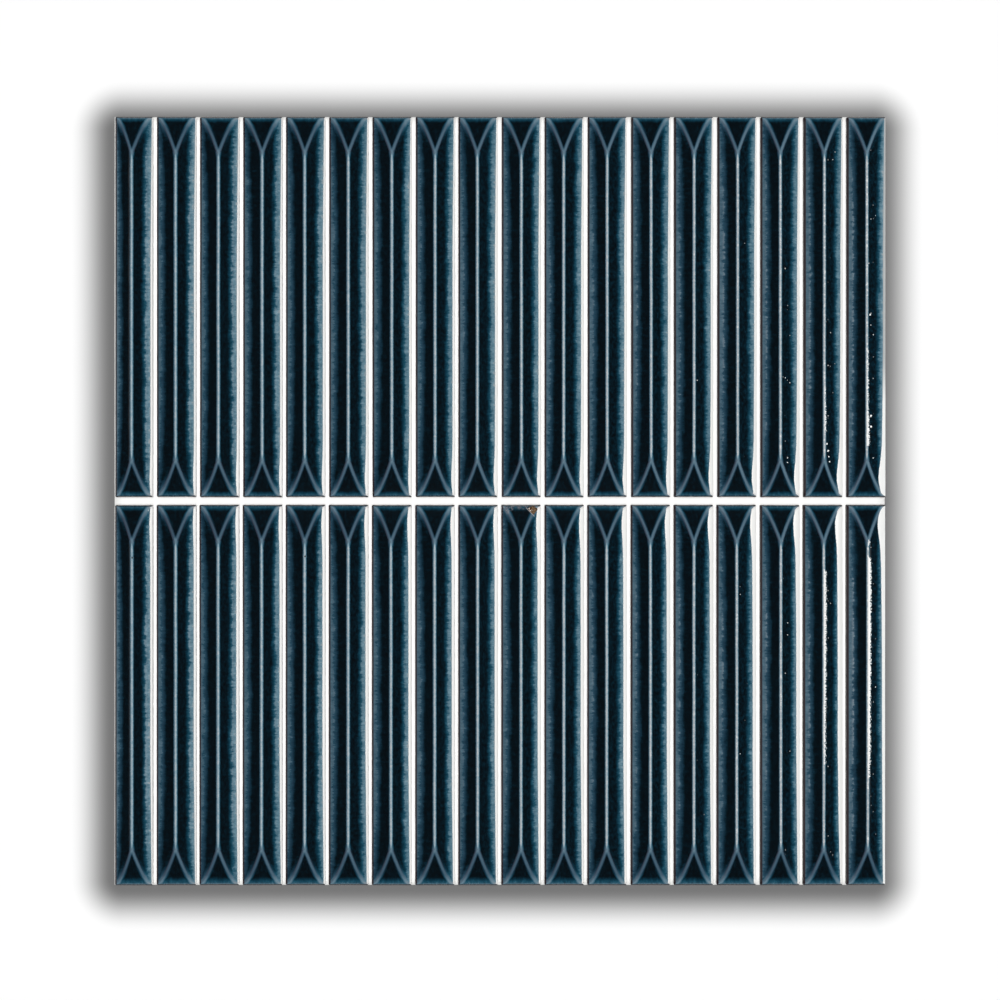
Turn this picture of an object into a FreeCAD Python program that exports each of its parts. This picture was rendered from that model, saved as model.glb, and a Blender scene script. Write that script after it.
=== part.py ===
import FreeCAD, Part

import math
import os

from FreeCAD import Vector

# Finger mosaic tile: a square sheet of slim glazed ceramic fingers, stacked in two rows with
# open joints and held at their spacing by a thin white backing sheet.
# Millimetres. X runs across the columns, Y along the fingers, Z up from the back of the sheet.
# The origin is in the middle of the back.

# Layout of the sheet
column_count = 18
row_count = 2
finger_width = 14.9
finger_length = 145.6
column_joint = 1.6
row_joint = 3.0

# Thickness of the backing, and of a finger from its back to its ridge
backing_thickness = 0.5
finger_height = 7.5

# Section across a finger: upright side, rounded shoulder, hollow flute, rounded ridge
shoulder_radius = 2.8
flute_slope_at_shoulder = 12.0
flute_slope_at_ridge = 33.5
ridge_radius = 1.2

# Profile along a finger: upright end, rounded shoulder, hollow scoop that climbs to the ridge
end_shoulder_radius = 2.2
scoop_length = 13.8
scoop_slope_at_shoulder = 8.0
scoop_slope_at_ridge = 13.0

# Rounding of the hips, where flutes and scoops meet, and of the upright corners
hip_radius = 1.0
corner_radius = 0.5

# Lengths closer than this count as equal
tolerance = 0.01


def bend(start, radius, slope_from, slope_to):
    """Start, middle and end of a climbing arc between two slopes, given in degrees.

    The arc bulges outward where the slope falls and is hollow where it rises.
    """
    signed_radius = radius if slope_from > slope_to else -radius
    first = math.radians(slope_from)

    def point_at(slope):
        angle = math.radians(slope)
        along = start[0] + signed_radius * (math.sin(first) - math.sin(angle))
        up = start[1] + signed_radius * (math.cos(angle) - math.cos(first))
        return (along, up)

    return [start, point_at((slope_from + slope_to) / 2), point_at(slope_to)]


def hollow_radius(run, slope_from, slope_to):
    """Radius of the hollow arc that covers a run while its slope rises."""
    return run / (math.sin(math.radians(slope_to)) - math.sin(math.radians(slope_from)))


def climb(shoulder, hollow_end, slopes, crown):
    """Arcs from an upright face inward: rounded shoulder, hollow face and, if any, crown.

    They are placed so that the last point is at the height of the ridge.
    """
    hollow_start, hollow_finish = slopes
    arcs = [bend((0.0, 0.0), shoulder, 90.0, hollow_start)]
    crown_run = crown * math.sin(math.radians(hollow_finish))
    run = hollow_end - crown_run - arcs[0][-1][0]
    radius = hollow_radius(run, hollow_start, hollow_finish)
    arcs.append(bend(arcs[0][-1], radius, hollow_start, hollow_finish))
    if crown > 0:
        arcs.append(bend(arcs[1][-1], crown, hollow_finish, 0.0))
    wall_height = finger_height - arcs[-1][-1][1]
    return [[(along, up + wall_height) for along, up in arc] for arc in arcs]


def symmetric_outline(arcs, length, middle_height, point):
    """Closed outline of a finger seen along one axis, from the arcs of its first half."""
    def line(start, end):
        return Part.LineSegment(point(*start), point(*end)).toShape()

    def arc_edge(arc):
        return Part.Arc(*[point(*place) for place in arc]).toShape()

    def mirrored(place):
        return (length - place[0], place[1])

    first, last = arcs[0][0], arcs[-1][-1]
    middle = (length / 2, middle_height)
    edges = [line((0.0, 0.0), first)]
    edges += [arc_edge(arc) for arc in arcs]
    if middle[0] - last[0] > tolerance:
        edges += [line(last, middle), line(middle, mirrored(last))]
    for arc in reversed(arcs):
        edges.append(arc_edge([mirrored(place) for place in reversed(arc)]))
    edges += [line(mirrored(first), (length, 0.0)), line((length, 0.0), (0.0, 0.0))]
    return Part.Face(Part.Wire(edges))


def fluted_bar():
    """Full-length bar with the finger's cross-section: two flutes that meet at the ridge."""
    arcs = climb(shoulder_radius, finger_width / 2, (flute_slope_at_shoulder, flute_slope_at_ridge),
                 ridge_radius)

    def point(along, up):
        return Vector(along - finger_width / 2, -finger_length / 2, up)

    section = symmetric_outline(arcs, finger_width, finger_height, point)
    return section.extrude(Vector(0, finger_length, 0))


def hipped_block():
    """Block with the finger's lengthwise profile: the scoop at each end runs on above the ridge."""
    arcs = climb(end_shoulder_radius, scoop_length, (scoop_slope_at_shoulder, scoop_slope_at_ridge), 0)
    run_out = finger_length / 2 - scoop_length
    roof_height = finger_height + run_out * math.tan(math.radians(scoop_slope_at_ridge))

    def point(along, up):
        return Vector(-finger_width / 2, along - finger_length / 2, up)

    profile = symmetric_outline(arcs, finger_length, roof_height, point)
    return profile.extrude(Vector(finger_width, 0, 0))


def plan_block():
    """Upright block with the finger's rounded corners, its top clear of the ridge."""
    corner = Vector(-finger_width / 2, -finger_length / 2, 0)
    block = Part.makeBox(finger_width, finger_length, finger_height + ridge_radius, corner)
    upright = [edge for edge in block.Edges if abs(edge.tangentAt(edge.FirstParameter).z) > 0.9]
    return block.makeFillet(corner_radius, upright)


def is_hip(edge):
    """True for an edge that runs slantwise in plan, from a corner up to the ridge."""
    box = edge.BoundBox
    return min(box.XLength, box.YLength) > tolerance


def finger():
    """One glazed finger, centred on its own back face."""
    hipped_bar = fluted_bar().common(hipped_block()).Solids[0]
    hips = [edge for edge in hipped_bar.Edges if is_hip(edge)]
    return hipped_bar.makeFillet(hip_radius, hips).common(plan_block()).Solids[0]


def sheet_span(count, size, joint):
    """Overall size of a line of fingers with a joint between each two."""
    return count * size + (count - 1) * joint


def centre_of(index, count, size, joint):
    """Place of one finger's centre along its line, with the line centred on the origin."""
    return (index - (count - 1) / 2) * (size + joint)


def backing_sheet():
    """Thin sheet under all the fingers, flush with the outer edges of the outermost ones."""
    width = sheet_span(column_count, finger_width, column_joint)
    length = sheet_span(row_count, finger_length, row_joint)
    return Part.makeBox(width, length, backing_thickness, Vector(-width / 2, -length / 2, 0))


def main():
    os.makedirs("parts", exist_ok=True)
    backing_sheet().exportStep("parts/backing_sheet.step")
    pattern = finger()
    for row in range(row_count):
        along = -centre_of(row, row_count, finger_length, row_joint)
        for column in range(column_count):
            across = centre_of(column, column_count, finger_width, column_joint)
            placed = pattern.translated(Vector(across, along, backing_thickness))
            placed.exportStep(f"parts/finger_r{row + 1}_c{column + 1:02d}.step")
    print("finger valid", pattern.isValid(), "volume", round(pattern.Volume, 1), "mm3, faces", len(pattern.Faces))


main()
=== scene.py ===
import math
import random
from collections import namedtuple
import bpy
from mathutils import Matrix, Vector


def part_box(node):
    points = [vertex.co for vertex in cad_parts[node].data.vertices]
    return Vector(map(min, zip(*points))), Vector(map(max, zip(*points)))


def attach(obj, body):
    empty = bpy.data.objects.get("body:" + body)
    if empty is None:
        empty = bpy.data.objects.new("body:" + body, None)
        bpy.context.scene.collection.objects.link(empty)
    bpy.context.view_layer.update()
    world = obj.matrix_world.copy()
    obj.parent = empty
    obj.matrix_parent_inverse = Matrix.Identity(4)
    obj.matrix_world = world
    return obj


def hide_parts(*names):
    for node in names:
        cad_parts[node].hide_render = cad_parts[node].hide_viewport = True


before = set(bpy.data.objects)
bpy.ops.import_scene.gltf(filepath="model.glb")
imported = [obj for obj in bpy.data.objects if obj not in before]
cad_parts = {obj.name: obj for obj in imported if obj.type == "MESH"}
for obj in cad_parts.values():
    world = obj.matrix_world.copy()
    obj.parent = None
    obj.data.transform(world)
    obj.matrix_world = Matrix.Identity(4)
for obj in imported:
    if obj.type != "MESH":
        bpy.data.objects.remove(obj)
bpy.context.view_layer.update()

from types import SimpleNamespace

import bmesh
import bpy
import numpy as np
from bpy.props import FloatProperty, FloatVectorProperty, IntProperty, PointerProperty
from mathutils import Matrix, Vector, noise

bl_info = {
    "name": "Finger mosaic tile",
    "version": (1, 0, 0),
    "blender": (4, 5, 0),
    "location": "3D View > Sidebar > Mosaic",
    "description": "Models a mosaic sheet of ridged, glazed ceramic fingers around its measured frame",
    "category": "Object",
}

# Millimetres in metres, for attributes and patterns that are written in millimetres
MM = 0.001

# The picture's width in pixels, and the sheet's place and scale in it
PICTURE_WIDTH = 1000
PICTURE_CENTRE = (499.7, 501.0)
PIXELS_PER_METRE = 2610.0

# Distances and shares that each vertex of a finger carries for the glaze and its painted highlights
GLAZE_MARKS = ("from_ridge", "from_hip", "from_edge", "rim_share", "to_right", "pale_reach",
               "hip_paleness", "end_bloom", "column_share", "past_chip", "past_crack", "past_scuff",
               "from_pit", "specks", "gleam")

# Flaws and painted highlights of single fingers: kind, place from the finger's middle and size, in
# millimetres. Glint dots, and gleams that run right of the ridge and are widest towards the middle joint,
# are painted highlights; one kind widens the painted highlight along the right edge over a stretch.
# Gleams and that widening give their reach, the middle of their stretch and half of its length.
Flaw = namedtuple("Flaw", "kind x y size")
FLAWS = {
    "finger_r1_c16": [("painted_glint", 2.7, -57.8, 0.26), ("painted_glint", 2.6, -59.5, 0.26)],
    "finger_r1_c17": [("gleam", 0.75, -39.0, 9.5), ("painted_glint", 1.3, -52.5, 0.40), ("painted_glint", 1.7, -55.1, 0.42),
                      ("painted_glint", 2.0, -57.3, 0.32), ("painted_glint", 2.4, -59.2, 0.30)],
    "finger_r1_c18": [("gleam", 1.2, -47.0, 6.5), ("gleam", 0.75, -34.0, 19.0), ("painted_glint", 1.2, -3.1, 0.42),
                      ("painted_glint", 1.6, -41.7, 0.45), ("painted_glint", 1.6, -45.8, 0.42), ("painted_glint", 2.5, -57.8, 0.24)],
    "finger_r2_c01": [("pit", 0.0, 52.7, 0.34), ("specks", 6.0, 71.0, 1.1)],
    "finger_r2_c05": [("pit", 0.0, 53.1, 0.34)],
    "finger_r2_c10": [("chip", 4.3, 70.8, 1.7), ("scuff", -5.6, 71.2, 1.4), ("scuff", -3.2, 72.2, 1.0),
                      ("scuff", -0.8, 72.3, 0.9), ("scuff", 1.6, 72.2, 1.0)],
    "finger_r2_c17": [("painted_light_edge", 0.55, 0.0, 70.0), ("gleam", 1.15, 10.5, 38.0)],
    "finger_r2_c18": [("gleam", 1.6, 10.5, 43.0), ("gleam", 1.1, 58.8, 1.8)],
}

# Gap in millimetres that stands for no flaw nearby, and height over which a vertex is on the top faces
FAR_AWAY = 10.0
TOP_HEIGHT = 2 * MM

# Nodes whose left side is trimmed, which leaves a strip of the backing bare, and the node that is
# narrower at its right side
TRIMMED_NODES = ("finger_r1_c01", "finger_r2_c01")
NARROW_NODE = "finger_r2_c18"

FINGER_NODES = sorted(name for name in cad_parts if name.startswith("finger_"))
BACKING_NODE = "backing_sheet"

Level = namedtuple("Level", "from_side from_end height rounding")


def linear(red, green, blue):
    """Linear colour from the eight-bit sRGB values that a colour picker shows."""
    def channel(value):
        share = value / 255
        return share / 12.92 if share <= 0.04045 else ((share + 0.055) / 1.055) ** 2.4

    return (channel(red), channel(green), channel(blue), 1.0)


def length(description, default, least=0.0):
    """Length property in metres."""
    return FloatProperty(description=description, default=default, min=least, precision=5,
                         subtype="DISTANCE", unit="LENGTH")


def angle(description, degrees):
    """Angle property, given here in degrees."""
    return FloatProperty(description=description, default=math.radians(degrees), subtype="ANGLE",
                         unit="ROTATION")


def colour(description, red, green, blue):
    """Colour property, given here in eight-bit sRGB."""
    return FloatVectorProperty(description=description, default=linear(red, green, blue), size=4,
                               min=0.0, max=1.0, subtype="COLOR")


def factor(description, default, highest=1.0):
    """Plain number property without a unit."""
    return FloatProperty(description=description, default=default, min=0.0, max=highest)


def count(description, default):
    """Whole number property of at least one."""
    return IntProperty(description=description, default=default, min=1)


def labelled(group):
    """Labels each setting of a class with its own name."""
    for name, setting in group.__annotations__.items():
        setting.keywords["name"] = name.replace("_", " ").capitalize()
    return group


@labelled
class FingerSettings(bpy.types.PropertyGroup):
    """Relief of one finger: section across it, profile along it and the unevenness of the glaze."""
    edge_radius: length("Rounding at the top of the side walls", 0.0004)
    facet_width: length("Width in plan of the nearly flat facet along the long edges", 0.00116)
    facet_slope_outside: angle("Slope where the facet leaves the edge", 34.0)
    facet_slope_inside: angle("Slope where the facet ends", 30.0)
    shoulder_radius: length("Rounding between facet and flute", 0.00295)
    flute_slope_at_shoulder: angle("Slope where the flute leaves the shoulder", 12.0)
    flute_slope_at_ridge: angle("Slope where the flute meets the ridge", 33.5)
    ridge_radius: length("Rounding along the ridge", 0.0012)
    end_shoulder_radius: length("Rounding of the short edges", 0.0022)
    scoop_length: length("Distance from the end to where the ridge starts", 0.0138)
    scoop_slope_at_shoulder: angle("Slope where the scoop leaves the end", 8.0)
    scoop_slope_at_ridge: angle("Slope where the scoop meets the ridge", 13.0)
    corner_radius: length("Rounding of the upright corners in plan", 0.0005)
    hip_rounding: length("Rounding of the hips in plan", 0.0003)
    foot_rounding: length("Small rounding around the back of a finger", 0.0002)
    glaze_swell: length("Height of the slow swells in the glaze", 0.00005)
    edge_wander: length("How far edges and ridge stray from straight", 0.00006)
    ridge_scatter: length("How far the ridge may lie off the middle", 0.00035)
    shift_scatter: length("How far a finger may lie off its place", 0.00008)
    roll_scatter: angle("How far a finger may lean to its side", 0.5)
    trim: length("Strip that is cut off the left side of the first column", 0.00076)
    lower_spread: length("How much wider to the left the fingers of the lower row are", 0.00016)
    right_tuck: length("How much narrower to the left the fingers of the last columns are", 0.00015)
    last_inset: length("How much narrower to the right the last finger of the lower row is", 0.00022)
    # The pale band along the right edges is a painted highlight, not broken glaze; these widths shape it.
    highlight_edge: length("Width of the pale broken glaze along the right edge", 0.00095)
    highlight_least: length("Width of the pale edge at the outer ends of the sheet", 0.00050)
    highlight_broad: length("How much wider the pale edge of the last column gets", 0.00060)
    highlight_flare: length("How much the pale edge flares beside the middle joint", 0.00140)
    flare_place: length("Distance from the middle of the sheet to the widest flare", 0.0085)
    bloom_reach: length("How far the pale bloom of the hips reaches in from the ends", 0.0046)
    left_rim: length("Width of the thin glaze along the left edge", 0.0043)
    left_rim_fall: length("Distance over which the left rim narrows to an end", 0.0170)
    right_rim: length("Width of the thin glaze along the right edge", 0.0045)
    right_rim_fall: length("Distance over which the right rim narrows to an end", 0.0120)
    end_rim: length("Width of the thin glaze along the ends", 0.0027)
    side_steps: count("Mesh steps along a finger", 110)
    end_steps: count("Mesh steps across the end of a finger", 16)
    corner_steps: count("Mesh steps round each corner", 5)
    wall_steps: count("Mesh steps up the side wall", 4)
    edge_steps: count("Mesh steps round the edge above the wall", 4)
    facet_steps: count("Mesh steps over the facet", 3)
    shoulder_steps: count("Mesh steps from the facet to the flute", 4)
    flute_steps: count("Mesh steps from the shoulder to the ridge", 13)
    crown_steps: count("Mesh steps over half of the rounded ridge", 4)


@labelled
class GlazeSettings(bpy.types.PropertyGroup):
    """Colours of the translucent glaze, from where it has run thin to where it has pooled."""
    # The edge colour paints highlights: the pale band along the right edges and the gleams and glints right
    # of the ridge. The specks take it too.
    edge: colour("Glaze broken to the pale body along the right edge", 253, 253, 250)
    ridge: colour("Glaze run thin over the ridge", 164, 169, 172)
    hip: colour("Glaze run thin over the hips", 98, 134, 150)
    rim: colour("Mottled glaze on the shoulders", 66, 103, 120)
    petrol: colour("Glaze between rim and pool", 34, 81, 100)
    teal: colour("Glaze of middling depth", 10, 48, 64)
    pool: colour("Deep glaze in the flutes and scoops", 4, 10, 15)
    haze: colour("Greyish cast of the glaze along the left edge", 46, 48, 62)
    hip_haze: colour("Greyish cast of the glaze on the hips", 96, 80, 90)
    # One wall body in two painted copies: a dark shaded copy on the left and end walls and a pale lit copy
    # on the right walls.
    shaded_wall: colour("Brown line on the left and end walls", 40, 30, 34)
    foot: colour("Bare body on the right walls", 253, 253, 250)
    # The last column's right wall is painted light near the middle joint and below, and painted shade
    # further up.
    last_foot: colour("Bare body of the last column near the middle joint and below", 240, 242, 240)
    last_wall_painted_shade: colour("Bare body of the last column further up", 178, 180, 180)
    roughness: factor("Roughness of deep glaze", 0.06)
    thin_roughness: factor("Roughness where the glaze has run thin", 0.5)


@labelled
class BackingSettings(bpy.types.PropertyGroup):
    """White backing: a film of adhesive with an open glass-fibre mesh pressed into its back."""
    white: colour("Colour of the film", 250, 250, 248)
    fibre: colour("Colour of the glass-fibre mesh", 226, 228, 224)
    film_thickness: length("Thickness of the film under the fingers", 0.00030)
    strand_count: count("Number of strands in each direction", 52)
    strand_width: length("Width of one flat strand", 0.0011)
    strand_thickness: length("Thickness of one flat strand", 0.00011)
    weave: length("How far a strand rises and falls where it crosses others", 0.00006)
    edge_wander: length("How unevenly the film is trimmed", 0.0001)
    left_overhang: length("How far the film reaches out at the left", 0.00025)
    right_overhang: length("How far the film reaches out at the right of the upper row", 0.0003)
    lower_overhang: length("How far the film reaches out at the right of the lower row", 0.00018)
    end_overhang: length("How far the film reaches out at the ends", 0.00035)


@labelled
class StageSettings(bpy.types.PropertyGroup):
    """Camera, lamps and floor."""
    camera_height: length("Height of the camera above the back of the sheet", 1.25)
    sensor_width: factor("Width of the camera's sensor in millimetres", 36.0, 100.0)
    floor_size: length("Length of each side of the floor", 12.0)
    floor: colour("Colour of the floor", 249, 249, 249)
    contact_shade: colour("Colour of the floor at the edge of the sheet", 115, 115, 115)
    shade_reach: length("How far the contact shade fades out from the sheet", 0.0170)
    shade_corner: length("Rounding of the contact shade at the corners", 0.0040)
    shade_shift: FloatVectorProperty(description="Shift of the contact shade", unit="LENGTH",
                                     default=(-0.0009, -0.0018, 0.0), subtype="TRANSLATION")
    ceiling_height: length("Height of the lamp over the sheet", 2.2)
    ceiling_width: length("Size of the lamp over the sheet across the fingers", 0.64)
    ceiling_length: length("Size of the lamp over the sheet along the fingers", 0.85)
    ceiling_level: factor("Light that a white surface sends back, where 1 is white", 1.05, 4.0)
    side_lamp_distance: length("Distance of the low lamp to the right", 0.45)
    side_lamp_middle: length("Height of the middle of the low lamp", 0.030)
    side_lamp_top: length("Greatest height of the low lamp", 0.108)
    side_lamp_width: length("Width of the low lamp", 0.30)
    side_lamp_offset: length("Shift of the low lamp along the fingers", -0.045, -1.0)
    side_lamp_radiance: factor("Brightness of the low lamp itself", 0.5, 100.0)


def arc(start, radius, slope_from, slope_to, steps):
    """Points of a climbing arc after its start, outward where the slope falls, hollow where it rises."""
    signed_radius = radius if slope_from > slope_to else -radius
    points = []
    for step in range(1, steps + 1):
        slope = slope_from + (slope_to - slope_from) * step / steps
        along = start[0] + signed_radius * (math.sin(slope_from) - math.sin(slope))
        up = start[1] + signed_radius * (math.cos(slope) - math.cos(slope_from))
        points.append((along, up))
    return points


def climb(brow, hollow_end, inside, crown, height, steps):
    """Points from the top of an upright wall inward: brow, hollow face and crown.

    The brow is a list of arcs, each with its radius, its last slope and its steps. The points are
    placed so that the last one is at the given height.
    """
    hollow_steps, crown_steps = steps
    points = [(0.0, 0.0)]
    slope = math.pi / 2
    for radius, slope_to, arc_steps in brow:
        points += arc(points[-1], radius, slope, slope_to, arc_steps)
        slope = slope_to
    run = hollow_end - crown * math.sin(inside) - points[-1][0]
    hollow = run / (math.sin(inside) - math.sin(slope))
    points += arc(points[-1], hollow, slope, inside, hollow_steps)
    if crown > 0:
        points += arc(points[-1], crown, inside, 0.0, crown_steps)
    lift = height - points[-1][1]
    return [(along, up + lift) for along, up in points]


def contour_levels(finger, half_width, height):
    """Nested outlines of a finger from its foot to its ridge, each at one height.

    Each level says how far in from the long sides and from the ends the outline lies there.
    """
    facet_fall = math.sin(finger.facet_slope_outside) - math.sin(finger.facet_slope_inside)
    side_brow = [(finger.edge_radius, finger.facet_slope_outside, finger.edge_steps),
                 (finger.facet_width / facet_fall, finger.facet_slope_inside, finger.facet_steps),
                 (finger.shoulder_radius, finger.flute_slope_at_shoulder, finger.shoulder_steps)]
    across = climb(side_brow, half_width, finger.flute_slope_at_ridge, finger.ridge_radius, height,
                   (finger.flute_steps, finger.crown_steps))
    fine = 60
    end_brow = [(finger.end_shoulder_radius, finger.scoop_slope_at_shoulder, fine)]
    along = climb(end_brow, finger.scoop_length, finger.scoop_slope_at_ridge, 0.0, height, (fine, 0))
    end_places, end_heights = zip(*along)

    wall_height = across[0][1]
    foot = finger.foot_rounding
    rise = (wall_height - foot) / finger.wall_steps
    outline = [(0.0, foot + rise * step) for step in range(finger.wall_steps)]
    levels = []
    for from_side, up in outline + across:
        from_end = float(np.interp(up, end_heights, end_places))
        rounding = min(finger.corner_radius + from_side, finger.hip_rounding, half_width - from_side)
        levels.append(Level(from_side, from_end, up, max(rounding, 0.0)))
    return levels


def foot_outline(shape, finger, size):
    """Rounded rectangle at the foot of a finger, with its sides divided. Returns its rim edges."""
    half_x, half_y = size[0] / 2 - finger.foot_rounding, size[1] / 2 - finger.foot_rounding
    bmesh.ops.create_grid(shape, x_segments=1, y_segments=1, size=1.0)
    bmesh.ops.scale(shape, vec=Vector((half_x, half_y, 1.0)), verts=shape.verts[:])
    bmesh.ops.bevel(shape, geom=shape.verts[:], offset=finger.corner_radius, segments=finger.corner_steps,
                    profile=0.5, affect="VERTICES", material=-1)
    longest = 2 * (half_x - finger.corner_radius)
    straight = [edge for edge in shape.edges if edge.calc_length() > longest / 2]
    long_sides = [edge for edge in straight if abs(edge.verts[0].co.x - edge.verts[1].co.x) < MM]
    ends = [edge for edge in straight if edge not in long_sides]
    bmesh.ops.subdivide_edges(shape, edges=long_sides, cuts=finger.side_steps - 1)
    bmesh.ops.subdivide_edges(shape, edges=ends, cuts=finger.end_steps - 1)
    return half_x - finger.corner_radius, half_y - finger.corner_radius


def graded(share, strength):
    """Moves a share from -1 to 1 towards the nearer end, so that steps get finer there."""
    return math.copysign(1 - (1 - abs(share)) ** strength, share)


def store_outline_places(shape, core_half):
    """Writes on each foot vertex its place in the core rectangle and its direction in the rounding."""
    core = shape.verts.layers.float_vector.new("core")
    outward = shape.verts.layers.float_vector.new("outward")
    end_grading = 1.6
    for vertex in shape.verts:
        inside = [max(-half, min(half, value)) for value, half in zip(vertex.co, core_half)]
        away = Vector((vertex.co.x - inside[0], vertex.co.y - inside[1], 0.0)).normalized()
        along = graded(inside[1] / core_half[1], end_grading)
        vertex[core] = Vector((inside[0] / core_half[0], along, 0.0))
        vertex[outward] = away
    return core, outward


def mark_glaze(vertex, layers, level, walls, half, finger, hip_slant):
    """Writes how far a vertex lies from ridge, hip and rim, which the glaze follows."""
    place, direction = vertex[layers["core"]], vertex[layers["outward"]]
    on_end = abs(direction.y)
    on_side = 1 - on_end
    half_x = half.x - level.from_side - level.rounding
    half_y = half.y - level.from_end - level.rounding
    side_gap = half_y * (1 - abs(place.y)) * hip_slant[0]
    end_gap = half_x * (1 - abs(place.x)) * hip_slant[1]
    past_ridge = max(abs(vertex.co.y) - (half.y - finger.scoop_length), 0.0)
    from_edge = level.from_side * on_side + level.from_end * on_end
    side_rim = finger.right_rim if direction.x > 0 else finger.left_rim
    marks = {
        "from_hip": (side_gap * on_side + end_gap * on_end) / MM,
        "from_ridge": math.hypot(vertex.co.x, past_ridge) / MM,
        "from_edge": (from_edge if from_edge > 0 else level.height - walls) / MM,
        "rim_share": from_edge / (side_rim * on_side + finger.end_rim * on_end),
        "to_right": direction.x * on_side,
        "past_chip": -FAR_AWAY,
        "past_crack": FAR_AWAY,
        "past_scuff": -FAR_AWAY,
        "from_pit": FAR_AWAY,
        "gleam": -FAR_AWAY,
    }
    for name, value in marks.items():
        vertex[layers[name]] = value


def finger_shape(finger, size):
    """Mesh of one finger centred on its back, with the distances that the glaze follows."""
    half = Vector((size[0] / 2, size[1] / 2, size[2]))
    levels = contour_levels(finger, half.x, half.z)
    walls = levels[finger.wall_steps].height
    shape = bmesh.new()
    core_half = foot_outline(shape, finger, size)
    core, outward = store_outline_places(shape, core_half)
    layers = {name: shape.verts.layers.float.new(name) for name in GLAZE_MARKS}
    layers.update(core=core, outward=outward)
    for vertex in shape.verts:
        mark_glaze(vertex, layers, levels[0], walls, half, finger, (1.0, 1.0))

    rim = [edge for edge in shape.edges if edge.is_boundary]
    before = levels[0]
    for level in levels:
        run_in = max(level.from_side - before.from_side, 1e-6)
        run_along = max(level.from_end - before.from_end, 1e-6)
        slant = math.hypot(run_in, run_along)
        result = bmesh.ops.extrude_edge_only(shape, edges=rim)
        rim = [item for item in result["geom"] if isinstance(item, bmesh.types.BMEdge)]
        half_x = half.x - level.from_side - level.rounding
        half_y = half.y - level.from_end - level.rounding
        for vertex in {vertex for edge in rim for vertex in edge.verts}:
            place, direction = vertex[core], vertex[outward]
            vertex.co = Vector((half_x * place.x + level.rounding * direction.x,
                                half_y * place.y + level.rounding * direction.y, level.height))
            mark_glaze(vertex, layers, level, walls, half, finger, (run_in / slant, run_along / slant))
        before = level
    bmesh.ops.remove_doubles(shape, verts=shape.verts[:], dist=1e-6)
    bmesh.ops.recalc_face_normals(shape, faces=shape.faces[:])
    return shape


def highlight_width(finger, share, up):
    """Width of the painted highlight along the right edge at a height above the sheet's middle line.

    It narrows towards the outer ends and flares beside the middle joint, most in the last columns.
    """
    sheet_end, end_reach, inner_reach, outer_reach, broad_reach = 0.146, 0.05, 0.0045, 0.008, 0.032
    right_gain, left_loss = (0.00045, 0.0002) if up < 0 else (0.0, 0.0003)
    past_flare = abs(up) - finger.flare_place
    flare = math.exp(-(past_flare / (inner_reach if past_flare < 0 else outer_reach)) ** 2)
    broad = math.exp(-(past_flare / broad_reach) ** 2)
    inward = min(max((sheet_end - abs(up)) / end_reach, 0.0), 1.0)
    width = finger.highlight_least + (finger.highlight_edge - finger.highlight_least) * inward
    width += finger.highlight_broad * share ** 4 * broad
    width += right_gain * share - left_loss * (1 - share) ** 2
    return width + finger.highlight_flare * (0.2 + 0.3 * share + 0.5 * share ** 8) * flare


def grade_glaze(vertex, layers, finger, size, middle, share):
    """Writes on a vertex how the glaze changes along the finger and from column to column, with the width
    of the painted highlight along the right edge and where painted glints show on the right flank.

    The share is the finger's share of the way from the left side of the sheet to the right.
    """
    side = vertex[layers["to_right"]]
    on_right = vertex.co.x > 0
    in_lower_row = middle.y < 0
    at_lower_end = max(vertex.co.y, middle.y) < 0
    from_end = size.y / 2 - abs(vertex.co.y)
    up_arm = min(from_end / finger.scoop_length, 1.0)
    down_arm = 1 - up_arm

    if side > 0:
        growth, narrowing, fall = 0.03, 0.30, finger.right_rim_fall
    else:
        growth, narrowing, fall = 0.10, 0.24 * share - 0.54, finger.left_rim_fall
    rim_share = vertex[layers["rim_share"]] / (1 + growth * share * abs(side))
    rim_share += narrowing * side * math.exp(-from_end / fall)
    if at_lower_end:
        rim_share /= 1 + 0.4 * (1 - abs(side))

    paleness = 0.35 + 0.05 * share
    near_end = math.exp(-(from_end / finger.bloom_reach) ** 2)
    if on_right:
        trend = -0.7 if at_lower_end else 1.0
        paleness += 0.06 + 0.2 * (share - 0.4) * trend
        bloom = 0.62 * near_end + 0.20 * down_arm
        on_flank = math.exp(-((vertex[layers["from_ridge"]] - 2.0) / 1.6) ** 2)
    else:
        if in_lower_row and vertex.co.y > 0:
            paleness += 0.2 * (share - 0.5)
        bloom = (0.58 + 0.06 * share) * near_end + 0.14 * down_arm
        on_flank = 0.0
    paleness -= 0.035 if in_lower_row else 0.0

    vertex[layers["rim_share"]] = rim_share
    vertex[layers["hip_paleness"]] = paleness + 0.08 * down_arm ** 3 + 0.12 * up_arm ** 2
    vertex[layers["end_bloom"]] = bloom
    # Painted glints on the right flank of the right columns.
    vertex[layers["specks"]] = max(share - 0.7, 0.0) * 0.2 * on_flank
    vertex[layers["pale_reach"]] = highlight_width(finger, share, middle.y + vertex.co.y) / MM
    vertex[layers["column_share"]] = share


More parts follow.
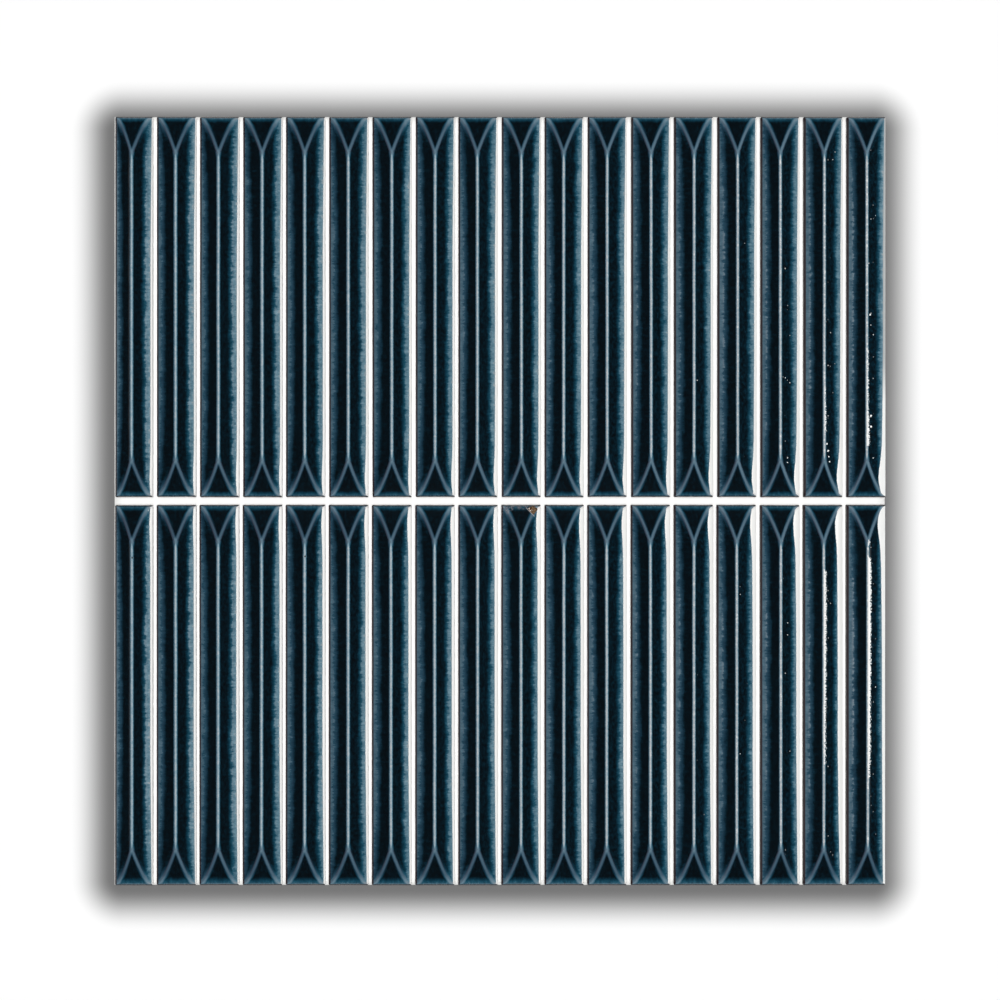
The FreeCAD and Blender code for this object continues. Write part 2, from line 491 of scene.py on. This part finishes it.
def uneven(shape, finger, number, node, middle, size, chance, share):
    """Lets edges, ridge and glaze stray a little, differently on each finger."""
    wander_length, swell_width, swell_length = 0.021, 0.004, 0.009
    seed = Vector((0.0, 0.0, 7.3 * number))
    ridge_offset = (chance.uniform(-1.0, 0.15) + 1.1 * share ** 6) * finger.ridge_scatter
    spread = finger.lower_spread if middle.y < 0 else 0.0
    spread -= finger.right_tuck * share ** 4
    if node in TRIMMED_NODES:
        spread -= finger.trim
    inset = finger.last_inset if node == NARROW_NODE else 0.0
    layers = {name: shape.verts.layers.float[name] for name in GLAZE_MARKS}
    for vertex in shape.verts:
        grade_glaze(vertex, layers, finger, size, middle, share)
        vertex.co.x *= 1 + 2 * (spread if vertex.co.x < 0 else -inset) / size.x
        rise = min(max(vertex.co.z / size.z, 0.0), 1.0)
        wander = noise.noise(Vector((0.0, vertex.co.y / wander_length, 0.0)) + seed)
        vertex.co.x += finger.edge_wander * wander * rise + ridge_offset * rise * rise
        swell = noise.noise(Vector((vertex.co.x / swell_width, vertex.co.y / swell_length, 0.0)) + seed)
        vertex.co.z += finger.glaze_swell * swell * rise * rise
    lean = chance.gauss(0.0, 0.4) * finger.roll_scatter
    bmesh.ops.transform(shape, matrix=Matrix.Rotation(lean, 4, "Y"), verts=shape.verts[:])


def near(shape, flaw, reach, above=TOP_HEIGHT):
    """Vertices within reach of a flaw and above a height, each with its gap in millimetres."""
    for vertex in shape.verts:
        gap = math.hypot(vertex.co.x / MM - flaw.x, vertex.co.y / MM - flaw.y)
        if gap < reach and vertex.co.z > above:
            yield vertex, gap


def refine(shape, flaw, reach, cuts):
    """Divides the top faces around a flaw more finely."""
    inside = {vertex for vertex, gap in near(shape, flaw, reach)}
    edges = [edge for edge in shape.edges if inside.issuperset(edge.verts)]
    bmesh.ops.subdivide_edges(shape, edges=edges, cuts=cuts, use_grid_fill=True)


def add_chip(shape, flaw):
    """Breaks the glaze off in a small patch near a corner, beyond a straight crack."""
    refine(shape, flaw, 2.4 * flaw.size, 3)
    past_chip = shape.verts.layers.float["past_chip"]
    past_crack = shape.verts.layers.float["past_crack"]
    depth, edge_reach, crack_gap = 0.28 * MM, 0.12, 0.65 * flaw.size
    for vertex, gap in near(shape, flaw, FAR_AWAY):
        x, y = vertex.co.x / MM - flaw.x, vertex.co.y / MM - flaw.y
        beyond = 0.72 * x + 0.69 * y + crack_gap
        ragged = 1.3 * noise.noise(vertex.co * 1100)
        vertex[past_chip] = min(beyond, flaw.size - gap + ragged)
        vertex[past_crack] = abs(beyond) + max(gap - 1.5 * flaw.size, 0.0)
        if vertex[past_chip] > 0:
            rough = 1 + 0.6 * noise.noise(vertex.co * 1500)
            vertex.co.z -= depth * (1 - math.exp(-vertex[past_chip] / edge_reach)) * rough


def add_pit(shape, flaw):
    """Sinks a small pit in the ridge."""
    refine(shape, flaw, 3.0, 3)
    from_pit = shape.verts.layers.float["from_pit"]
    depth = 0.25 * MM
    for vertex, gap in near(shape, flaw, FAR_AWAY):
        vertex[from_pit] = gap / flaw.size
        vertex.co.z -= depth * math.exp(-(gap / flaw.size) ** 2)


def add_specks(shape, flaw):
    """Marks a place where small pale specks show in the glaze."""
    specks = shape.verts.layers.float["specks"]
    for vertex, gap in near(shape, flaw, 2 * flaw.size, -MM):
        vertex[specks] = max(vertex[specks], 1 - gap / flaw.size / 2)


def widen_painted_highlight(shape, flaw):
    """Widens the painted highlight along the right edge over a stretch of the finger."""
    pale_reach = shape.verts.layers.float["pale_reach"]
    for vertex in shape.verts:
        off_middle = abs(vertex.co.y / MM - flaw.y) / flaw.size
        vertex[pale_reach] += flaw.x * max(1 - off_middle ** 4, 0.0)


def add_painted_glint(shape, flaw):
    """Marks a painted glint: a small pale dot on the glaze."""
    refine(shape, flaw, 1.4, 4)
    gleam = shape.verts.layers.float["gleam"]
    for vertex, gap in near(shape, flaw, 4 * flaw.size):
        vertex[gleam] = max(vertex[gleam], 5 * (flaw.size - gap))


def add_painted_gleam(shape, flaw):
    """Marks a painted highlight: a pale gleam along the right flank of the ridge."""
    gleam = shape.verts.layers.float["gleam"]
    from_ridge = shape.verts.layers.float["from_ridge"]
    to_right = shape.verts.layers.float["to_right"]
    for vertex in shape.verts:
        to_joint = (vertex.co.y / MM - flaw.y) / flaw.size * math.copysign(1.0, flaw.y)
        if vertex[to_right] > 0 and abs(to_joint) < 1:
            taper = min((1 + to_joint) ** 0.15, 40 * (1 - to_joint))
            vertex[gleam] = max(vertex[gleam], 0.85 * flaw.x * taper - vertex[from_ridge])


def add_scuff(shape, flaw):
    """Roughens the glaze in a small ragged patch."""
    refine(shape, flaw, 1.8 * flaw.size, 2)
    past_scuff = shape.verts.layers.float["past_scuff"]
    for vertex, gap in near(shape, flaw, 3 * flaw.size):
        ragged = 1.2 * flaw.size * noise.noise(vertex.co * 1300)
        vertex[past_scuff] = max(vertex[past_scuff], flaw.size - gap + ragged)


ADD_FLAW = {"chip": add_chip, "scuff": add_scuff, "pit": add_pit, "specks": add_specks,
            "painted_light_edge": widen_painted_highlight, "painted_glint": add_painted_glint, "gleam": add_painted_gleam}


def new_object(name, data):
    """Adds an object to the scene."""
    item = bpy.data.objects.new(name, data)
    bpy.context.scene.collection.objects.link(item)
    return item


def piece_from(shape, name, material, node):
    """Makes a finished object of a mesh shape: smooth, riding on the root and standing for one node."""
    mesh = bpy.data.meshes.new(name)
    shape.to_mesh(mesh)
    shape.free()
    mesh.polygons.foreach_set("use_smooth", [True] * len(mesh.polygons))
    mesh.materials.append(material)
    piece = new_object(name, mesh)
    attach(piece, "root")
    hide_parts(node)


class NodeNet:
    """Short way to write a node tree: every call adds nodes and links their inputs."""

    def __init__(self, tree):
        self.tree = tree
        tree.nodes.clear()

    def fill(self, node, inputs):
        """Links or sets inputs of a node, each given by name or number."""
        for name, value in inputs:
            if isinstance(value, bpy.types.NodeSocket):
                self.tree.links.new(value, node.inputs[name])
            else:
                node.inputs[name].default_value = value
        return node

    def add(self, kind, inputs=(), **settings):
        """Adds a node, sets its properties, and links or sets its inputs."""
        node = self.tree.nodes.new("ShaderNode" + kind)
        for name, value in settings.items():
            setattr(node, name, value)
        return self.fill(node, dict(inputs).items())

    def attribute(self, name):
        """Number stored on the mesh."""
        return self.add("Attribute", attribute_name=name).outputs["Fac"]

    def math(self, operation, *values):
        """Sum, product or other number of up to three values."""
        return self.add("Math", dict(enumerate(values)), operation=operation).outputs[0]

    def line(self, value, slope, offset):
        """Value times a slope, plus an offset."""
        return self.math("MULTIPLY_ADD", value, slope, offset)

    def times(self, product, *others):
        """Product of two or more values."""
        for other in others:
            product = self.math("MULTIPLY", product, other)
        return product

    def most(self, largest, *others):
        """Largest of two or more values."""
        for other in others:
            largest = self.math("MAXIMUM", largest, other)
        return largest

    def fade(self, value, start, end, low=0.0, high=1.0):
        """Smooth change from low to high while the value goes from start to end."""
        inputs = {"Value": value, "From Min": start, "From Max": end, "To Min": low, "To Max": high}
        return self.add("MapRange", inputs, interpolation_type="SMOOTHSTEP").outputs[0]

    def blend(self, share, first, second):
        """Number between two numbers."""
        node = self.add("Mix", data_type="FLOAT")
        return self.fill(node, ((0, share), (2, first), (3, second))).outputs[0]

    def mix(self, share, first, second):
        """Colour between two colours."""
        node = self.add("Mix", data_type="RGBA")
        return self.fill(node, ((0, share), (6, first), (7, second))).outputs[2]

    def vector(self, operation, *values):
        """Vector, or the length of one, from up to two vectors."""
        node = self.add("VectorMath", dict(enumerate(values)), operation=operation)
        return node.outputs["Value" if operation == "LENGTH" else "Vector"]

    def noise(self, place, scale, detail=2.0, roughness=0.5):
        """Soft random pattern from 0 to 1."""
        inputs = {"Vector": place, "Scale": scale, "Detail": detail, "Roughness": roughness}
        return self.add("TexNoise", inputs).outputs["Fac"]

    def streaks(self, place, scales, detail, roughness):
        """Soft random pattern that is scaled by given amounts along each axis."""
        stretched = self.add("Mapping", {"Vector": place, "Scale": scales}).outputs[0]
        return self.noise(stretched, 1.0, detail, roughness)

    def ramp(self, share, stops):
        """Colour read from a list of stops, each a place and a colour."""
        node = self.add("ValToRGB", {"Fac": share})
        elements = node.color_ramp.elements
        elements[0].position, elements[0].color = stops[0][0], stops[0][1]
        elements[1].position, elements[1].color = stops[-1][0], stops[-1][1]
        for place, tint in stops[1:-1]:
            elements.new(place).color = tint
        return node.outputs["Color"]

    def surface(self, kind, inputs, output="OutputMaterial"):
        """Adds a shader and hands it to the output."""
        self.add(output, {"Surface": self.add(kind, inputs).outputs[0]})


def new_material(name):
    """Empty material, the net of its nodes and the place on the piece."""
    material = bpy.data.materials.new(name)
    material.use_nodes = True
    net = NodeNet(material.node_tree)
    return material, net, net.add("TexCoord").outputs["Object"]


def add_flaw_tints(net, glaze, marks, place, tint):
    """Lays specks and painted glints, pits, scuffs and the chip with its crack over the glaze colour."""
    cells = net.add("TexVoronoi", {"Vector": place, "Scale": 1100.0, "Randomness": 1.0})
    draw = net.add("SeparateColor", {"Color": cells.outputs["Color"]}).outputs
    chosen = net.times(net.math("LESS_THAN", draw["Red"], marks.specks),
                       net.fade(draw["Green"], 0.0, 1.0, 0.25, 1.0))
    dot = net.times(net.fade(cells.outputs["Distance"], 0.12, 0.30, 0.9, 0.0), chosen)
    tint = net.mix(dot, tint, glaze.edge)
    tint = net.mix(net.fade(marks.from_pit, 0.7, 1.1, 1.0, 0.0), tint, glaze.pool)

    powder = net.noise(place, 2600.0, 2.0, 0.6)
    scuffed = net.ramp(powder, [(0.36, linear(44, 50, 64)), (0.50, linear(98, 100, 110)),
                                (0.64, linear(158, 156, 156))])
    tint = net.mix(net.fade(marks.past_scuff, -0.5, 0.8, 0.0, 0.70), tint, scuffed)
    grit = net.noise(place, 1400.0, 3.0, 0.7)
    body = net.ramp(grit, [(0.36, linear(30, 24, 28)), (0.50, linear(92, 68, 44)),
                           (0.70, linear(138, 116, 90))])
    tint = net.mix(net.fade(marks.past_chip, 0.0, 0.1), tint, body)
    crack = net.fade(marks.past_crack, 0.05, 0.20, 0.62, 0.0)
    return net.mix(crack, tint, linear(190, 186, 186))


def thin_crests(net, marks, place, on_side, mottle):
    """How thin the glaze has run over the ridge, over the hips and where they meet."""
    knots = net.streaks(place, (700.0, 900.0, 700.0), 3.0, 0.6)
    flecks = net.math("SUBTRACT", net.streaks(place, (1100.0, 1500.0, 1100.0), 3.0, 0.7), 0.5)
    ridge = net.line(flecks, 0.35, marks.from_ridge)
    ridge_reach = net.blend(marks.column_share, 1.02, 0.84)
    worn = net.times(net.fade(knots, 0.3, 0.7, 0.80, 0.93),
                     net.fade(marks.from_hip, 0.0, 2.4, 0.74, 1.0),
                     net.blend(marks.column_share, 0.885, 1.03))
    thin_ridge = net.times(net.fade(ridge, 0.26, ridge_reach, 1.0, 0.0), worn)

    hip = net.line(mottle, 0.18, marks.from_hip)
    hip_reach = net.blend(on_side, 0.85, 0.62)
    thin_hip = net.times(net.fade(hip, 0.0, hip_reach, 1.0, 0.0), marks.hip_paleness)
    bloom_reach = net.blend(on_side, 1.3, 2.8)
    bloom = net.times(net.fade(hip, 0.0, bloom_reach, 1.0, 0.0), marks.end_bloom)
    join_reach = net.blend(on_side, 2.9, 1.5)
    thin_join = net.times(net.fade(marks.from_ridge, 0.3, join_reach, 0.62, 0.0),
                          net.fade(marks.from_hip, 0.2, 1.6, 1.0, 0.0))
    return net.most(thin_ridge, thin_join, thin_hip, net.line(mottle, 0.12, bloom))


def thin_shoulders(net, marks, place, on_side, on_right, mottle):
    """How thin the mottled glaze has run along the edges, with the right edges made paler than the left as
    painted light.
    """
    stray = net.math("SUBTRACT", net.streaks(place, (420.0, 170.0, 420.0), 3.0, 0.6), 0.5)
    rim = net.line(mottle, -0.14, net.line(stray, 0.42, marks.rim_share))
    left_paleness = net.line(marks.column_share, 0.02, 0.59)
    # Right rim paler than the left: thin glaze, plus painted light from the right.
    paleness = net.blend(on_right, net.blend(on_side, 0.36, left_paleness), 0.78)
    thin_rim = net.times(net.fade(rim, 0.10, 1.0, 1.0, 0.0), paleness)
    return net.line(mottle, net.fade(thin_rim, 0.1, 0.4, 0.02, 0.33), thin_rim)


def glaze_material(glaze):
    """Translucent petrol glaze: pale where it runs thin over ridges, near black where it pools, with
    painted highlights along the right edges and right of the ridge and painted light and shade on the
    walls.
    """
    material, net, place = new_material("petrol_glaze")
    marks = SimpleNamespace(**{name: net.attribute(name) for name in GLAZE_MARKS})
    on_right = net.fade(marks.to_right, 0.1, 0.6)
    on_side = net.fade(net.math("ABSOLUTE", marks.to_right), 0.1, 0.6)
    on_left = net.math("SUBTRACT", on_side, on_right)
    in_last_column = net.fade(marks.column_share, 0.93, 0.96)
    side_fibres = net.streaks(place, (420.0, 1050.0, 420.0), 4.0, 0.68)
    end_fibres = net.streaks(place, (1050.0, 420.0, 420.0), 4.0, 0.68)
    mottle = net.line(net.blend(on_side, end_fibres, side_fibres), 2.0, -1.0)

    # Thinness of the glaze: 0 where it pools, 1 where it has broken to the pale body; it also carries the
    # pale band along the right edge and the gleams right of the ridge, which are painted highlights
    crests = thin_crests(net, marks, place, on_side, mottle)
    shoulders = thin_shoulders(net, marks, place, on_side, on_right, mottle)
    # Pale band along the right edge: a painted highlight, flaring beside the middle joint.
    facet = net.math("SUBTRACT", net.line(mottle, 0.25, marks.from_edge), marks.pale_reach)
    facet = net.times(net.fade(facet, -0.08, 0.12, 1.0, 0.0), on_right)
    crumbs = net.math("SUBTRACT", net.streaks(place, (1800.0, 2200.0, 1800.0), 2.0, 0.6), 0.5)
    gleam = net.times(net.fade(net.line(crumbs, 3.0, marks.gleam), 0.0, 0.3),
                      net.fade(marks.from_ridge, 0.0, 0.4, 0.94, 1.0))
    grain = net.streaks(place, (900.0, 700.0, 900.0), 3.0, 0.7)
    # The grain lifts the pools more on the right flanks and in the right columns: mottle plus painted light
    # from the right.
    least = net.blend(on_right, 0.02, net.line(marks.column_share, 0.06, 0.045))
    thin = net.most(crests, shoulders, facet, gleam, net.fade(grain, 0.35, 0.75, 0.0, least))

    tint = net.ramp(thin, [(0.0, glaze.pool), (0.16, glaze.teal), (0.36, glaze.petrol), (0.52, glaze.rim),
                           (0.72, glaze.hip), (0.9, glaze.ridge), (1.0, glaze.edge)])
    tint = net.mix(net.times(net.fade(thin, 0.03, 0.25, 0.0, 0.34), on_left), tint, glaze.haze)
    tint = net.mix(net.fade(marks.from_hip, 0.2, 0.75, 0.22, 0.0), tint, glaze.hip_haze)

    # Walls: a dark line at the left and at the ends as painted shade, and a pale lit copy of the same body
    # at the right as painted light
    along = net.add("SeparateXYZ", {"Vector": place}).outputs["Y"]
    # The last column's right wall and pale band: painted light near the middle joint and below, painted
    # shade further up.
    last_foot = net.mix(net.fade(along, 0.036, 0.056), glaze.last_foot, glaze.last_wall_painted_shade)
    foot = net.mix(in_last_column, glaze.foot, last_foot)
    dark_line = net.line(on_left, 0.25, 0.25)
    wall_top = net.blend(on_right, dark_line, -0.3)
    wall_fade = net.blend(on_right, net.math("ADD", dark_line, 0.4), 0.1)
    wall = net.fade(marks.from_edge, wall_top, wall_fade, 1.0, 0.0)
    tint = net.mix(net.times(in_last_column, facet), tint, foot)
    tint = net.mix(wall, tint, net.mix(on_right, glaze.shaded_wall, foot))
    # Right walls and pale band, both painted as lit, take a sheen.
    painted_light_edge = net.times(net.most(wall, facet), on_right)

    tint = add_flaw_tints(net, glaze, marks, place, tint)
    ripple = net.streaks(place, (500.0, 350.0, 500.0), 3.0, 0.5)
    bump = net.add("Bump", {"Height": ripple, "Strength": 0.2, "Distance": 0.0001})
    dulled = net.most(thin, net.fade(marks.from_hip, 0.15, 0.5, 0.42, 0.0))
    roughness = net.fade(dulled, 0.30, 0.50, glaze.roughness, glaze.thin_roughness)
    net.surface("BsdfPrincipled", {
        "Base Color": tint, "Roughness": roughness, "Normal": bump.outputs[0], "IOR": 1.52,
        "Specular IOR Level": net.fade(marks.from_hip, 0.4, 1.2, 0.08, 0.5),
        "Sheen Weight": painted_light_edge, "Sheen Roughness": 0.5})
    return material


def white_film_material(backing):
    """Matt white film, and glass fibre in the mesh under it."""
    material, net, place = new_material("white_backing")
    height = net.add("SeparateXYZ", {"Vector": place}).outputs["Z"]
    grain = net.noise(place, 900.0, 3.0, 0.6)
    threads = net.noise(place, 5000.0, 2.0, 0.5)
    fibre = net.mix(net.fade(threads, 0.35, 0.65, 0.0, 0.35), backing.fibre, linear(180, 184, 182))
    film = net.mix(net.fade(grain, 0.3, 0.7, 0.0, 0.06), backing.white, linear(224, 222, 216))
    highest_fibre, lowest_film = 0.00017, 0.00021
    tint = net.mix(net.fade(height, highest_fibre, lowest_film), fibre, film)
    bump = net.add("Bump", {"Height": grain, "Strength": 0.3, "Distance": 0.0001})
    net.surface("BsdfPrincipled", {"Base Color": tint, "Roughness": 0.75, "Normal": bump.outputs[0]})
    return material


class MOSAIC_OT_fingers(bpy.types.Operator):
    """Model every glazed finger of the sheet in place of its plain solid"""
    bl_idname = "mosaic.fingers"
    bl_label = "Glazed fingers"

    def execute(self, context):
        finger = context.scene.mosaic_finger
        material = glaze_material(context.scene.mosaic_glaze)
        low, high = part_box(FINGER_NODES[0])
        size = high - low
        pattern = finger_shape(finger, size)
        sheet_low, sheet_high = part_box(BACKING_NODE)
        for number, node in enumerate(FINGER_NODES):
            low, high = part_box(node)
            chance = random.Random(node)
            shape = pattern.copy()
            middle = (low + high) / 2
            share = (middle.x - sheet_low.x) / (sheet_high.x - sheet_low.x)
            uneven(shape, finger, number, node, middle, size, chance, share)
            for values in FLAWS.get(node, ()):
                flaw = Flaw(*values)
                ADD_FLAW[flaw.kind](shape, flaw)
            shift = [chance.uniform(-1.0, 1.0) * finger.shift_scatter for axis in "xy"]
            place = Vector((middle.x + shift[0], middle.y + shift[1], low.z))
            bmesh.ops.translate(shape, vec=place, verts=shape.verts[:])
            piece_from(shape, "glazed_" + node, material, node)
        pattern.free()
        return {"FINISHED"}


def add_slab(shape, x_segments, y_segments, thickness):
    """Adds a divided slab, two units wide and long, hanging down from height zero. Returns its vertices."""
    top = bmesh.ops.create_grid(shape, x_segments=x_segments, y_segments=y_segments, size=1.0)["verts"]
    faces = list({face for vertex in top for face in vertex.link_faces})
    made = bmesh.ops.extrude_face_region(shape, geom=faces, use_keep_orig=True)
    bottom = [item for item in made["geom"] if isinstance(item, bmesh.types.BMVert)]
    bmesh.ops.translate(shape, vec=Vector((0.0, 0.0, -thickness)), verts=bottom)
    return top + bottom


def add_film(shape, backing, low, high):
    """Adds the film under the fingers, with slightly uneven trimmed edges."""
    half = (high - low) / 2
    steps = 72
    for vertex in add_slab(shape, steps, steps, backing.film_thickness):
        x, y = vertex.co.x, vertex.co.y
        trim_x = backing.edge_wander * (0.5 + 0.5 * noise.noise(Vector((0.3 + 9 * x, 11 * y, 0.0))))
        trim_y = backing.edge_wander * (0.5 + 0.5 * noise.noise(Vector((11 * x, 0.7 + 9 * y, 3.0))))
        right = backing.right_overhang if y > 0 else backing.lower_overhang
        overhang = right if x > 0 else backing.left_overhang
        vertex.co = Vector((x * (half.x - trim_x + overhang), y * (half.y - trim_y + backing.end_overhang),
                            high.z + vertex.co.z))


def add_strands(shape, backing, low, high):
    """Adds the woven strands under the film, first along Y and then along X."""
    strands = backing.strand_count
    inset = 2 * backing.strand_width
    half = (high - low) / 2 - Vector((inset, inset, 0.0))
    top = low.z + backing.strand_thickness + backing.weave
    stray = 0.0002
    for turn in (0, 1):
        run, spread = (half.x, half.y) if turn else (half.y, half.x)
        for strand in range(strands):
            across = spread * (2 * (strand + 0.5) / strands - 1)
            verts = add_slab(shape, 1, strands, backing.strand_thickness)
            for vertex in verts:
                crossing = round((vertex.co.y + 1) / 2 * strands)
                side = 1 if (crossing + strand + turn) % 2 else -1
                shift = stray * noise.noise(Vector((0.4 * strand, 4.0 * vertex.co.y, turn)))
                vertex.co = Vector((across + shift + backing.strand_width / 2 * vertex.co.x,
                                    run * vertex.co.y, top + vertex.co.z + side * backing.weave))
            if turn:
                bmesh.ops.rotate(shape, verts=verts, matrix=Matrix.Rotation(math.pi / 2, 3, "Z"))


class MOSAIC_OT_backing(bpy.types.Operator):
    """Model the white backing with the glass-fibre mesh in its back"""
    bl_idname = "mosaic.backing"
    bl_label = "White backing"

    def execute(self, context):
        backing = context.scene.mosaic_backing
        low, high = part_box(BACKING_NODE)
        shape = bmesh.new()
        add_film(shape, backing, low, high)
        add_strands(shape, backing, low, high)
        bmesh.ops.recalc_face_normals(shape, faces=shape.faces[:])
        piece_from(shape, "white_backing", white_film_material(backing), BACKING_NODE)
        return {"FINISHED"}


def place_camera(stage):
    """Camera straight above the sheet, framed as in the photograph."""
    data = bpy.data.cameras.new("overhead_camera")
    data.sensor_width = stage.sensor_width
    eave_height = 0.0035
    focal_pixels = PIXELS_PER_METRE * (stage.camera_height - eave_height)
    data.lens = focal_pixels / PICTURE_WIDTH * stage.sensor_width
    camera = new_object("overhead_camera", data)
    half = PICTURE_WIDTH / 2
    camera.location = ((half - PICTURE_CENTRE[0]) / PIXELS_PER_METRE,
                       (PICTURE_CENTRE[1] - half) / PIXELS_PER_METRE, stage.camera_height)
    bpy.context.scene.camera = camera


def area_lamp(name, shape, size, radiance):
    """Area lamp of a given brightness, seen in reflections and not by the camera."""
    data = bpy.data.lights.new(name, "AREA")
    data.shape = shape
    data.size, data.size_y = size
    area = math.pi / 4 * size[0] * size[1] if shape in {"DISK", "ELLIPSE"} else size[0] * size[1]
    data.energy = radiance * math.pi * area
    lamp = new_object(name, data)
    lamp.visible_camera = False
    return lamp


def place_lamps(stage):
    """Soft lamp overhead, and a low lamp to the right that adds some light on right-facing edges; the pale
    right walls and edges are mostly painted in the glaze.
    """
    size = (stage.ceiling_width, stage.ceiling_length)
    share = size[0] * size[1] / 4 / stage.ceiling_height ** 2
    ceiling = area_lamp("ceiling_lamp", "ELLIPSE", size, stage.ceiling_level / share)
    ceiling.location = (0.0, 0.0, stage.ceiling_height)
    size = (2 * (stage.side_lamp_top - stage.side_lamp_middle), stage.side_lamp_width)
    side = area_lamp("side_lamp", "ELLIPSE", size, stage.side_lamp_radiance)
    side.location = (stage.side_lamp_distance, stage.side_lamp_offset, stage.side_lamp_middle)
    side.rotation_euler = (0.0, math.pi / 2, 0.0)


def place_floor(stage):
    """Wide pale floor under the sheet, with a contact shadow painted round it."""
    shape = bmesh.new()
    bmesh.ops.create_grid(shape, x_segments=1, y_segments=1, size=stage.floor_size / 2)
    mesh = bpy.data.meshes.new("floor")
    shape.to_mesh(mesh)
    shape.free()
    material, net, place = new_material("pale_floor")
    low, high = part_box(BACKING_NODE)
    corner = Vector((stage.shade_corner, stage.shade_corner, 0.0))
    half = (high - low) / 2 - corner
    across = net.vector("ABSOLUTE", net.vector("SUBTRACT", place, stage.shade_shift))
    outside = net.vector("SUBTRACT", across, (half.x, half.y, 0.0))
    outside = net.vector("MAXIMUM", outside, (0.0, 0.0, 0.0))
    distance = net.math("SUBTRACT", net.vector("LENGTH", outside), stage.shade_corner)
    tint = net.mix(net.fade(distance, 0.0, stage.shade_reach), stage.contact_shade, stage.floor)
    net.surface("BsdfDiffuse", {"Color": tint})
    mesh.materials.append(material)
    floor = new_object("floor", mesh)


def make_world():
    """Pale band round the horizon under a dark ceiling."""
    world = bpy.data.worlds.new("studio")
    world.use_nodes = True
    net = NodeNet(world.node_tree)
    direction = net.add("TexCoord").outputs["Generated"]
    up = net.add("SeparateXYZ", {"Vector": direction}).outputs["Z"]
    horizon, ceiling = 0.9, 0.03
    strength = net.fade(up, 0.12, 0.32, horizon, ceiling)
    net.surface("Background", {"Color": (1.0, 1.0, 1.0, 1.0), "Strength": strength}, "OutputWorld")
    bpy.context.scene.world = world


class MOSAIC_OT_stage(bpy.types.Operator):
    """Set up the floor, the lamps, the world and the camera"""
    bl_idname = "mosaic.stage"
    bl_label = "Studio stage"

    def execute(self, context):
        stage = context.scene.mosaic_stage
        context.scene.view_settings.view_transform = "Standard"
        place_camera(stage)
        place_lamps(stage)
        place_floor(stage)
        make_world()
        return {"FINISHED"}


class MOSAIC_PT_panel(bpy.types.Panel):
    """Sidebar panel with the steps of the model"""
    bl_idname = "MOSAIC_PT_panel"
    bl_label = "Finger mosaic tile"
    bl_space_type = "VIEW_3D"
    bl_region_type = "UI"
    bl_category = "Mosaic"

    def draw(self, context):
        layout = self.layout
        for operator in OPERATORS:
            layout.operator(operator.bl_idname)
        for group in SETTINGS:
            settings = getattr(context.scene, group)
            box = layout.box()
            for name in settings.bl_rna.properties.keys():
                if name not in {"rna_type", "name"}:
                    box.prop(settings, name)


OPERATORS = (MOSAIC_OT_fingers, MOSAIC_OT_backing, MOSAIC_OT_stage)
SETTINGS = {
    "mosaic_finger": FingerSettings,
    "mosaic_glaze": GlazeSettings,
    "mosaic_backing": BackingSettings,
    "mosaic_stage": StageSettings,
}


def register():
    """Registers the classes and hangs the settings on the scene."""
    for name, group in SETTINGS.items():
        bpy.utils.register_class(group)
        setattr(bpy.types.Scene, name, PointerProperty(type=group))
    for item in (*OPERATORS, MOSAIC_PT_panel):
        bpy.utils.register_class(item)


def unregister():
    """Takes the settings off the scene and unregisters the classes."""
    for item in reversed((*OPERATORS, MOSAIC_PT_panel)):
        bpy.utils.unregister_class(item)
    for name, group in reversed(SETTINGS.items()):
        delattr(bpy.types.Scene, name)
        bpy.utils.unregister_class(group)


def main():
    """Builds everything in order."""
    register()
    for build in (bpy.ops.mosaic.stage, bpy.ops.mosaic.backing, bpy.ops.mosaic.fingers):
        build()


if __name__ == "__main__":
    main()
